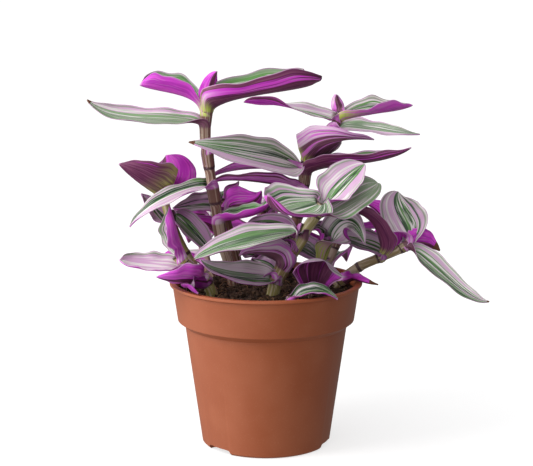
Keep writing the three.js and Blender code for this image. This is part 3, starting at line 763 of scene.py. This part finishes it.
class PLANT_OT_pot(bpy.types.Operator):
    """Model the nursery pot, with its rim, band, tapered wall and drainage notches"""
    bl_idname = "plant.pot"
    bl_label = "Pot"

    def execute(self, context):
        groove_top = POT_HEIGHT - LIP_HEIGHT
        profile = [
            (BASE_RADIUS - BASE_EDGE, 0),
            (BASE_RADIUS, BASE_EDGE),
            (BODY_TOP_RADIUS, BODY_TOP),
            (BAND_FOOT_RADIUS, BAND_FOOT),
            (BAND_TOP_RADIUS, groove_top - LIP_SLOPE),
            (RIM_RADIUS, groove_top),
            (RIM_RADIUS, POT_HEIGHT),
            (BAND_TOP_RADIUS - WALL, POT_HEIGHT),
            (BAND_FOOT_RADIUS - WALL, BAND_FOOT),
            (BODY_TOP_RADIUS - WALL, BODY_TOP),
            (BASE_RADIUS - WALL, WALL),
        ]
        pot = named(ring_body(profile, POT_SEGMENTS), "nursery_pot")
        for turn in NOTCH_TURNS:
            self.cut_notch(pot, math.radians(turn))
        apply_modifier(pot, "BEVEL", width=POT_EDGE_ROUNDING * MM, segments=3, limit_method="ANGLE",
                       angle_limit=math.radians(POT_EDGE_ANGLE))
        smooth_shading(pot, 30)
        coat(pot, "polypropylene_moulded_satin", pot_surface)
        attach(pot, "root")
        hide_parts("pot")
        return {"FINISHED"}

    def cut_notch(self, pot, turn):
        """Cuts one low opening with rounded upper corners through the bottom edge of the wall."""
        start_modelling()
        bpy.ops.mesh.primitive_cube_add(size=1)
        cutter = bpy.context.object
        cutter.scale = (NOTCH_WIDTH * MM, NOTCH_REACH * MM, 2 * NOTCH_HEIGHT * MM)
        settle(cutter)
        apply_modifier(cutter, "BEVEL", width=NOTCH_CORNER * MM, segments=4, limit_method="ANGLE")
        cutter.matrix_world = Matrix.Rotation(turn, 4, "Z") @ Matrix.Translation((0, -NOTCH_RADIUS * MM, 0))
        settle(cutter)
        apply_modifier(pot, "BOOLEAN", object=cutter, operation="DIFFERENCE", solver="EXACT")
        bpy.data.objects.remove(cutter)


def soil_level(x, y, lump_height):
    """Height of the soil's lumpy surface at a place, all in metres."""
    share = math.hypot(x, y) / (SOIL_EDGE_RADIUS * MM)
    level = (SOIL_MIDDLE_LEVEL - (SOIL_MIDDLE_LEVEL - SOIL_EDGE_LEVEL) * share ** 2) * MM
    place = Vector((x, y, 0)) / (LUMP_SPACING * MM)
    return level + lump_height * (noise.fractal(place, *LUMP_FRACTAL) - LUMP_MEAN)


class PLANT_OT_soil(bpy.types.Operator):
    """Model the potting soil, with its lumps, loose crumbs and fibres"""
    bl_idname = "plant.soil"
    bl_label = "Soil"

    def execute(self, context):
        sizes = context.scene.plant_sizes
        self.body(sizes)
        self.crumbs(sizes)
        self.fibres(sizes)
        return {"FINISHED"}

    def body(self, sizes):
        top = [(SOIL_EDGE_RADIUS * (1 - ring / SOIL_RINGS), SOIL_EDGE_LEVEL) for ring in range(SOIL_RINGS)]
        profile = [(SOIL_EDGE_RADIUS - SOIL_FOOT_INSET, SOIL_DEPTH), *top]
        soil = named(ring_body(profile, SOIL_SEGMENTS), "potting_soil")
        for vertex in soil.data.vertices:
            x, y, z = vertex.co
            if z > (SOIL_EDGE_LEVEL - 1) * MM:
                vertex.co.z = soil_level(x, y, sizes.soil_lumps)
        smooth_shading(soil, 60)
        coat(soil, "peat_compost_moist", soil_surface)
        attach(soil, "root")
        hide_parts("soil")

    def crumbs(self, sizes):
        """Scatters loose crumbs, each a copy of one of a few broken lumps."""
        draw = random.Random(CRUMB_SEED)
        lumps = [self.crumb(number) for number in range(CRUMB_SHAPES)]
        mesh = bpy.data.meshes.new("soil_crumbs")
        heap = bmesh.new()
        for _ in range(sizes.crumbs):
            turn = draw.uniform(0, 2 * math.pi)
            reach = math.sqrt(draw.random()) * (SOIL_EDGE_RADIUS - CRUMB_MARGIN) * MM
            x, y = reach * math.cos(turn), reach * math.sin(turn)
            size = draw.choice(CRUMB_SIZES) * draw.uniform(*CRUMB_SIZE_SHARES) * MM
            z = soil_level(x, y, sizes.soil_lumps) + CRUMB_LIFT * size
            spin = Matrix.Rotation(draw.uniform(0, CRUMB_TURN), 4, (draw.random(), draw.random(), 1))
            scale = Matrix.Diagonal((size, size, CRUMB_FLATNESS * size, 1))
            start = len(heap.verts)
            heap.from_mesh(draw.choice(lumps))
            heap.verts.ensure_lookup_table()
            place = Matrix.Translation((x, y, z)) @ spin @ scale
            bmesh.ops.transform(heap, matrix=place, verts=heap.verts[start:])
        heap.to_mesh(mesh)
        heap.free()
        for lump in lumps:
            bpy.data.meshes.remove(lump)
        crumbs = linked("soil_crumbs", mesh)
        smooth_shading(crumbs, 50)
        coat(crumbs, "peat_compost_moist", soil_surface)
        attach(crumbs, "root")

    def crumb(self, number):
        """One rough lump of unit size."""
        start_modelling()
        bpy.ops.mesh.primitive_uv_sphere_add(segments=7, ring_count=5, radius=1)
        lump = bpy.context.object
        for vertex in lump.data.vertices:
            place = vertex.co * CRUMB_GRAIN + Vector((CRUMB_SEED_STEP * number, 0, 0))
            vertex.co *= 1 + CRUMB_ROUGHNESS * noise.noise(place)
        mesh = lump.data
        bpy.data.objects.remove(lump)
        return mesh

    def fibres(self, sizes):
        """Lays thin curled root and peat fibres on the soil."""
        draw = random.Random(FIBRE_SEED)
        curve = bpy.data.curves.new("soil_fibres", "CURVE")
        curve.dimensions = "3D"
        curve.bevel_depth = FIBRE_RADIUS * MM
        curve.bevel_resolution = 1
        curve.use_fill_caps = True
        for _ in range(sizes.fibres):
            self.fibre(curve, draw, sizes.soil_lumps)
        only(linked("soil_fibres", curve))
        bpy.ops.object.convert(target="MESH")
        fibres = named(bpy.context.object, "soil_fibres")
        coat(fibres, "root_fibre_dry", fibre_surface)
        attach(fibres, "root")

    def fibre(self, curve, draw, lump_height):
        """Adds one fibre that arches over the soil and turns back at the wall of the pot."""
        heading = draw.uniform(0, 2 * math.pi)
        reach = math.sqrt(draw.random()) * (SOIL_EDGE_RADIUS - FIBRE_START_MARGIN) * MM
        turn = draw.uniform(0, 2 * math.pi)
        x, y = reach * math.cos(turn), reach * math.sin(turn)
        count = draw.randint(*FIBRE_POINTS)
        arch = draw.uniform(*FIBRE_ARCHES) * MM
        bend = draw.uniform(-FIBRE_BEND, FIBRE_BEND)
        spline = curve.splines.new("POLY")
        spline.points.add(count - 1)
        for index, point in enumerate(spline.points):
            rise = arch * math.sin(math.pi * index / (count - 1))
            point.co = (x, y, soil_level(x, y, lump_height) + rise, 1)
            point.radius = draw.uniform(*FIBRE_RADIUS_SHARES)
            heading += bend + draw.uniform(-FIBRE_WANDER, FIBRE_WANDER)
            step = draw.uniform(*FIBRE_STEPS) * MM
            next_x, next_y = x + step * math.cos(heading), y + step * math.sin(heading)
            if math.hypot(next_x, next_y) < (SOIL_EDGE_RADIUS - FIBRE_MARGIN) * MM:
                x, y = next_x, next_y
            else:
                heading += math.pi


def midrib_point(knots, share):
    """A point of a cubic curve with its direction."""
    a, b, c, d = knots
    rest = 1 - share
    point = a * rest ** 3 + b * (3 * rest * rest * share) + c * (3 * rest * share * share) + d * share ** 3
    slope = (b - a) * (rest * rest) + (c - b) * (2 * rest * share) + (d - c) * (share * share)
    return point, slope.normalized()


def midrib_knots(mouth, along, leaf):
    """The midrib's cubic curve: from the sheath's mouth along the stem, past the via point, to the tip."""
    start = mouth + along * leaf.bend
    before, after = (leaf.via - mouth).length, (leaf.tip - leaf.via).length
    t = min(max(before / (before + after) + VIA_LEAD, VIA_LEAST), VIA_MOST)
    s = 1 - t
    second = (leaf.via - mouth * s ** 3 - start * (3 * s * s * t) - leaf.tip * t ** 3) / (3 * s * t * t)
    return mouth, start, second, leaf.tip


def half_width(share, girth, leaf):
    """Half the width of the flattened blade: the sheath's girth, a neck, the widest part and the tip."""
    half = leaf.width / 2
    if share < leaf.widest:
        neck = girth * leaf.neck
        return (neck + (half - neck) * smoothstep(share, 0, leaf.widest)
                + (girth - neck) * (1 - smoothstep(share, 0, FLARE_END)))
    out = (share - leaf.widest) / (1 - leaf.widest)
    taper = max(0.0, 1 - out ** (TIP_POWER + BLUNT_POWER * leaf.blunt))
    return max(TIP_HALF_WIDTH, half * taper ** (1 - BLUNT_ROUNDING * leaf.blunt))


class BladeShape:
    """Places the points of a leaf's upper side, from the foot of its sheath to its tip."""

    def __init__(self, stem, leaf, sizes, phase):
        self.leaf, self.phase = leaf, phase
        self.wrap, self.wave = sizes.sheath_wrap, sizes.edge_wave / MM
        joints = stem.joints
        self.joint = joints[leaf.joint]
        if leaf.joint + 1 < len(joints):
            self.along = (joints[leaf.joint + 1] - self.joint).normalized()
        else:
            self.along = (self.joint - joints[leaf.joint - 1]).normalized()
        self.stem_radius = stem.radius(leaf.joint / (len(joints) - 1))
        self.mouth_radius = self.stem_radius + sizes.sheath_play / MM
        axis = self.joint + self.along * leaf.sheath
        out = leaf.via - axis
        self.out = (out - self.along * out.dot(self.along)).normalized()
        self.knots = midrib_knots(axis + self.out * self.mouth_radius, self.along, leaf)

    def point(self, across, row):
        if row < SHEATH_ROWS:
            return self.sheath_point(across, row / SHEATH_ROWS)
        return self.blade_point(across, (row - SHEATH_ROWS) / BLADE_ROWS)

    def sheath_point(self, across, share):
        play = ROOT_PLAY + (self.mouth_radius - self.stem_radius - ROOT_PLAY) * share
        radius = self.stem_radius + play
        side = self.along.cross(-self.out)
        turn = across * self.wrap
        axis = self.joint + self.along * (self.leaf.sheath * share)
        return axis + side * (radius * math.sin(turn)) + self.out * (radius * math.cos(turn))

    def blade_point(self, across, share):
        leaf = self.leaf
        centre, forward = midrib_point(self.knots, share)
        turning = smoothstep(share, 0, leaf.opening)
        aim = leaf.face.lerp(leaf.tip_face, smoothstep(share, TIP_TURN_START, 1))
        up = (-self.out).lerp(aim, turning)
        up = (up - forward * up.dot(forward)).normalized()
        side = forward.cross(up)
        curl = self.wrap + (math.radians(leaf.cup) - self.wrap) * turning ** UNROLL_POWER
        half = half_width(share, self.mouth_radius * self.wrap, leaf)
        radius = half / curl
        turn = across * curl
        keel = KEEL_DEPTH * math.exp(-(across * half / KEEL_WIDTH) ** 2) * smoothstep(share, *KEEL_START)
        lift = radius * (1 - math.cos(turn)) + self.edge_wave(across, share, half) - keel
        return centre + side * (radius * math.sin(turn)) + up * lift

    def edge_wave(self, across, share, half):
        """How far the blade waves up or down, which is most at its edges and where it is wide."""
        coarse = math.sin(self.phase + WAVE_TURN * share + WAVE_SLANT * across)
        fine = math.sin(FINE_WAVE_PHASE * self.phase + FINE_WAVE_TURN * share)
        ripple = coarse + FINE_WAVE_SHARE * fine
        wave = self.wave * across * across * ripple * smoothstep(share, *WAVE_START)
        return wave * min(1, half / WAVE_FULL_HALF_WIDTH)


def mark(piece, **markings):
    """Stores what the materials read: three values for every point, or the same three for all of them."""
    for name, values in markings.items():
        rows = values if isinstance(values, list) else [values] * len(piece.data.vertices)
        attribute = piece.data.attributes.new(name, "FLOAT_VECTOR", "POINT")
        attribute.data.foreach_set("vector", [part for row in rows for part in row])


def coat_plant(piece):
    coat(piece, "leaf_waxy_upper_side", upper_leaf)
    coat(piece, "leaf_waxy_underside", under_leaf)
    coat(piece, "stem_fleshy_skin", stem_surface)


def leaf_piece(stem, leaf, sizes, number):
    """One leaf: a grid laid over the blade's form and given its thickness, thinner towards its margins."""
    shape = BladeShape(stem, leaf, sizes, WAVE_PHASE_STEP * number)
    rows = SHEATH_ROWS + BLADE_ROWS
    start_modelling()
    bpy.ops.mesh.primitive_grid_add(x_subdivisions=BLADE_COLUMNS, y_subdivisions=rows, size=2)
    piece = bpy.context.object
    margin = piece.vertex_groups.new(name="thickness")
    places = []
    for vertex in piece.data.vertices:
        across, row = vertex.co.x, round((vertex.co.y + 1) / 2 * rows)
        along = (row - SHEATH_ROWS) / (BLADE_ROWS if row >= SHEATH_ROWS else SHEATH_ROWS)
        places.append((across, along, leaf.width / 2))
        vertex.co = shape.point(across, row) * MM
        thinning = max(abs(across) ** 3, 1 - smoothstep(along, *THIN_ROOT))
        margin.add([vertex.index], 1 - (1 - MARGIN_THICKNESS) * thinning, "REPLACE")
    mark(
        piece, blade=places, zone=(*leaf.green, SEED_STEP * number),
        tone=(leaf.mauve, leaf.dark, leaf.pale), ends=(leaf.brown, leaf.lime, stem.young),
        stalk=(leaf.edge, 0, 0))
    coat_plant(piece)
    apply_modifier(
        piece, "SOLIDIFY", thickness=sizes.blade_thickness, offset=-1, vertex_group="thickness",
        thickness_vertex_group=0.0, material_offset=1, material_offset_rim=1, use_quality_normals=True)
    smooth_shading(piece, 70)
    return piece


def stem_path(joints):
    """Points along a stem, on a smooth curve through its joints."""
    ends = [joints[0] * 2 - joints[1], *joints, joints[-1] * 2 - joints[-2]]
    points = []
    for first, second, third, fourth in zip(ends, ends[1:], ends[2:], ends[3:]):
        reach = (third - second).length / 3
        start = second + (third - first).normalized() * reach
        end = third - (fourth - second).normalized() * reach
        stretch = geometry.interpolate_bezier(second, start, end, third, TUBE_STEPS + 1)
        points += stretch if not points else stretch[1:]
    return points


def tube_sides(points):
    """Two directions across the stem at each of its points, carried along without twist."""
    sides = []
    across = Vector((1, 0, 0))
    for index in range(len(points)):
        ahead = points[min(index + 1, len(points) - 1)] - points[max(index - 1, 0)]
        ahead.normalize()
        across = (across - ahead * across.dot(ahead)).normalized()
        sides.append((across, ahead.cross(across)))
    return sides


def stem_piece(stem):
    """The stem: a grid rolled into a tube along the joints, swollen at each joint, with its ends shut."""
    points = stem_path(stem.joints)
    last = len(points) - 1
    lengths = [0.0]
    for before, after in zip(points, points[1:]):
        lengths.append(lengths[-1] + (after - before).length)
    start_modelling()
    bpy.ops.mesh.primitive_grid_add(x_subdivisions=TUBE_SIDES, y_subdivisions=last + 2, size=2)
    piece = bpy.context.object
    sides = tube_sides(points)
    skin = []
    for vertex in piece.data.vertices:
        turn = math.pi * (vertex.co.x + 1)
        row = round((vertex.co.y + 1) / 2 * (last + 2)) - 1
        step = min(max(row, 0), last)
        gap = min(abs(lengths[step] - lengths[joint]) for joint in range(0, last + 1, TUBE_STEPS))
        radius = stem.radius(step / last) + NODE_SWELL * math.exp(-(gap / NODE_REACH) ** 2)
        if row != step:
            radius = 0
        across, up = sides[step]
        vertex.co = (points[step] + across * (radius * math.cos(turn)) + up * (radius * math.sin(turn))) * MM
        skin.append((turn * radius, lengths[step], gap))
    mark(piece, stalk=skin, blade=(0, 0, 1), zone=(0, 0, 0), tone=(0, 0, 0), ends=(0, 0, stem.young))
    bpy.ops.object.mode_set(mode="EDIT")
    bpy.ops.mesh.select_all(action="SELECT")
    bpy.ops.mesh.remove_doubles(threshold=1e-6)
    bpy.ops.mesh.normals_make_consistent(inside=False)
    bpy.ops.object.mode_set(mode="OBJECT")
    coat_plant(piece)
    for face in piece.data.polygons:
        face.material_index = 2
    smooth_shading(piece, 70)
    return piece


class PLANT_OT_leafy_stems(bpy.types.Operator):
    """Model the leafy stems, each as one piece with its leaves"""
    bl_idname = "plant.leafy_stems"
    bl_label = "Leafy stems"

    def execute(self, context):
        sizes = context.scene.plant_sizes
        number = 0
        for stem in STEMS:
            parts = [stem_piece(stem)]
            for leaf in stem.leaves:
                number += 1
                parts.append(leaf_piece(stem, leaf, sizes, number))
            piece = join(parts, f"leafy_{stem.name}")
            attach(piece, "root")
            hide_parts(stem.name)
        return {"FINISHED"}


class PLANT_OT_stage(bpy.types.Operator):
    """Set up the pale floor, the soft studio light and the camera"""
    bl_idname = "plant.stage"
    bl_label = "Stage"

    def execute(self, context):
        self.floor()
        self.key_light()
        self.world(context.scene)
        self.camera(context.scene)
        context.scene.view_settings.view_transform = "Standard"
        return {"FINISHED"}

    def floor(self):
        """A white floor that curves up far away. It shows the shadow and leaves the light to the studio."""
        start_modelling()
        bpy.ops.mesh.primitive_circle_add(
            vertices=96, radius=FLOOR_RADIUS, fill_type="NGON", location=(0, 0, -FLOOR_GAP))
        floor = named(bpy.context.object, "floor")
        bpy.ops.object.mode_set(mode="EDIT")
        for rise, widening in COVE_STEPS:
            extrude_up(rise, widening)
        bpy.ops.mesh.delete(type="ONLY_FACE")
        bpy.ops.object.mode_set(mode="OBJECT")
        settle(floor)
        floor.visible_diffuse = False
        floor.visible_glossy = False
        floor.visible_shadow = False
        coat(floor, "paper_white_matte", paper_surface)

    def key_light(self):
        lamp = bpy.data.lights.new("key", "AREA")
        lamp.shape = "DISK"
        lamp.size = KEY_SIZE
        lamp.energy = KEY_POWER
        light = linked("key", lamp)
        light.location = KEY_PLACE
        aim = Vector(PLANT_MIDDLE) - light.location
        light.rotation_euler = aim.to_track_quat("-Z", "Y").to_euler()

    def world(self, scene):
        """A white studio with a large bright window on the left."""
        world = bpy.data.worlds.new("studio_white")
        world.use_nodes = True
        world.node_tree.nodes.clear()
        add = partial(add_node, world.node_tree)
        heading = add("TexCoord", output="Generated")
        window = add("VectorMath", heading, WINDOW_HEADING, operation="DOT_PRODUCT")
        strength = add("MapRange", window, -0.1, 0.95, 0.24, 1.5, **SMOOTH)
        add("OutputWorld", add("Background", (1, 1, 1, 1), strength))
        scene.world = world

    def camera(self, scene):
        data = bpy.data.cameras.new("camera")
        data.lens = CAMERA_LENS
        data.sensor_width = CAMERA_SENSOR
        camera = linked("camera", data)
        camera.location = CAMERA_PLACE
        camera.rotation_euler = (math.radians(90 - CAMERA_TILT), 0, 0)
        scene.camera = camera


class PLANT_PT_tools(bpy.types.Panel):
    """Lists the plant's pieces, sizes and colours"""
    bl_idname = "PLANT_PT_tools"
    bl_label = "Potted tradescantia"
    bl_space_type = "VIEW_3D"
    bl_region_type = "UI"
    bl_category = "Plant"

    def draw(self, context):
        for operator in OPERATORS:
            self.layout.operator(operator.bl_idname)
        for group in (context.scene.plant_sizes, context.scene.plant_colours):
            for name in group.bl_rna.properties.keys():
                if name not in {"rna_type", "name"}:
                    self.layout.prop(group, name)


OPERATORS = (PLANT_OT_stage, PLANT_OT_pot, PLANT_OT_soil, PLANT_OT_leafy_stems)
CLASSES = (PlantSizes, PlantColours, *OPERATORS, PLANT_PT_tools)


def register():
    for item in CLASSES:
        bpy.utils.register_class(item)
    bpy.types.Scene.plant_sizes = bpy.props.PointerProperty(type=PlantSizes)
    bpy.types.Scene.plant_colours = bpy.props.PointerProperty(type=PlantColours)


def unregister():
    del bpy.types.Scene.plant_colours
    del bpy.types.Scene.plant_sizes
    for item in reversed(CLASSES):
        bpy.utils.unregister_class(item)


def main():
    register()
    bpy.ops.plant.stage()
    bpy.ops.plant.pot()
    bpy.ops.plant.soil()
    bpy.ops.plant.leafy_stems()


if __name__ == "__main__":
    main()
